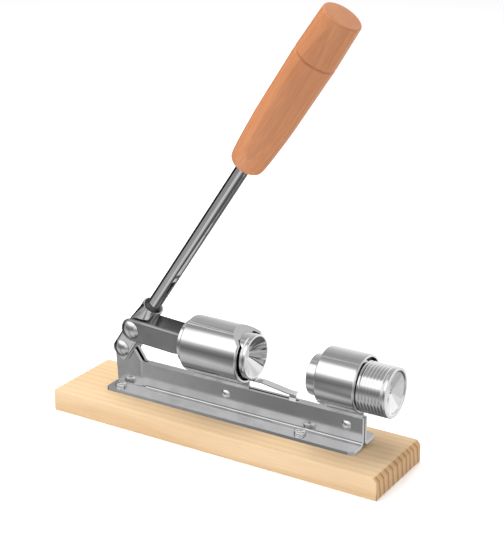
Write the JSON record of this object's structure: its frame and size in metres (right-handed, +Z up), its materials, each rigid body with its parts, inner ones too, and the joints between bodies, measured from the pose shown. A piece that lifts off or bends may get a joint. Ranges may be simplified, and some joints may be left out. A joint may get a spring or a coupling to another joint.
{
  "type": "lever nutcracker",
  "caption": "Bench nutcracker: a long wooden-handled lever drives a cupped ram towards a screw-set anvil cup, all carried on twin steel rails over a pine board.",
  "frame": {"origin": "centre of the wooden board's underside, which is also the bottom centre of the whole object's box at rest", "axes": "+X from the lever end to the anvil end, +Z up, +Y across the board to the far side"},
  "size_m": [0.26, 0.065, 0.3052],
  "materials": {
    "pine": "planed pine, clear sealed",
    "lacquered_beech": "turned hardwood, satin lacquer",
    "zinc_steel": "satin zinc-plated sheet",
    "polished_steel": "polished nickel-plated steel",
    "link_steel": "dull grey plated sheet",
    "chrome": "bright chrome plate",
    "dark_steel": "blackened steel"
  },
  "bodies": {
    "frame": {"base_board": "pine", "near_rail": "zinc_steel", "far_rail": "zinc_steel", "ram_keel": "zinc_steel", "anvil_keel": "zinc_steel", "ram_housing": "polished_steel", "anvil_housing": "polished_steel", "lower_pivot_rivet": "polished_steel", "ear_spacer": "dark_steel", "rear_web_rivet": "polished_steel", "front_web_rivet": "polished_steel", "rear_near_base_screw": "polished_steel", "rear_far_base_screw": "polished_steel", "front_near_base_screw": "polished_steel", "front_far_base_screw": "polished_steel", "nut_rest": "chrome"},
    "lever": {"lever_yoke": "chrome", "lever_rod": "chrome", "rod_lock_ring": "dark_steel", "grip": "lacquered_beech", "upper_pivot_rivet": "polished_steel", "yoke_spacer": "dark_steel"},
    "link": {"link": "link_steel"},
    "ram": {"ram": "chrome", "ram_pin": "polished_steel"},
    "anvil_pad": {"anvil_cup": "chrome"},
    "anvil_screw": {"anvil_screw": "chrome"}
  },
  "joints": [
    {"name": "lever_swing", "type": "hinge", "parent": "frame", "child": "lever", "pos_m": [-0.0899, 0.004, 0.0462], "axis": [0, 1, 0], "range_deg": [-40, 20]},
    {"name": "link_swing", "type": "hinge", "parent": "lever", "child": "link", "pos_m": [-0.07948, 0.004, 0.06341], "axis": [0, 1, 0], "range_deg": [-22.6, 45.1]},
    {"name": "ram_slide", "type": "slide", "parent": "frame", "child": "ram", "axis": [1, 0, 0], "range_m": [-0.0128, 0.0064]},
    {"name": "anvil_feed", "type": "slide", "parent": "frame", "child": "anvil_pad", "axis": [1, 0, 0], "range_m": [-0.012, 0.0096]},
    {"name": "anvil_turn", "type": "hinge", "parent": "anvil_pad", "child": "anvil_screw", "pos_m": [0.1, 0.004, 0.0598], "axis": [1, 0, 0], "range_deg": [-1800, 1440]}
  ],
  "couplings": [
    {"joint": "link_swing", "follows": "lever_swing", "ratio": -1.125},
    {"joint": "ram_slide", "follows": "lever_swing", "m_per_rad": 0.0182},
    {"joint": "anvil_feed", "follows": "anvil_turn", "m_per_rad": 0.00038197}
  ]
}
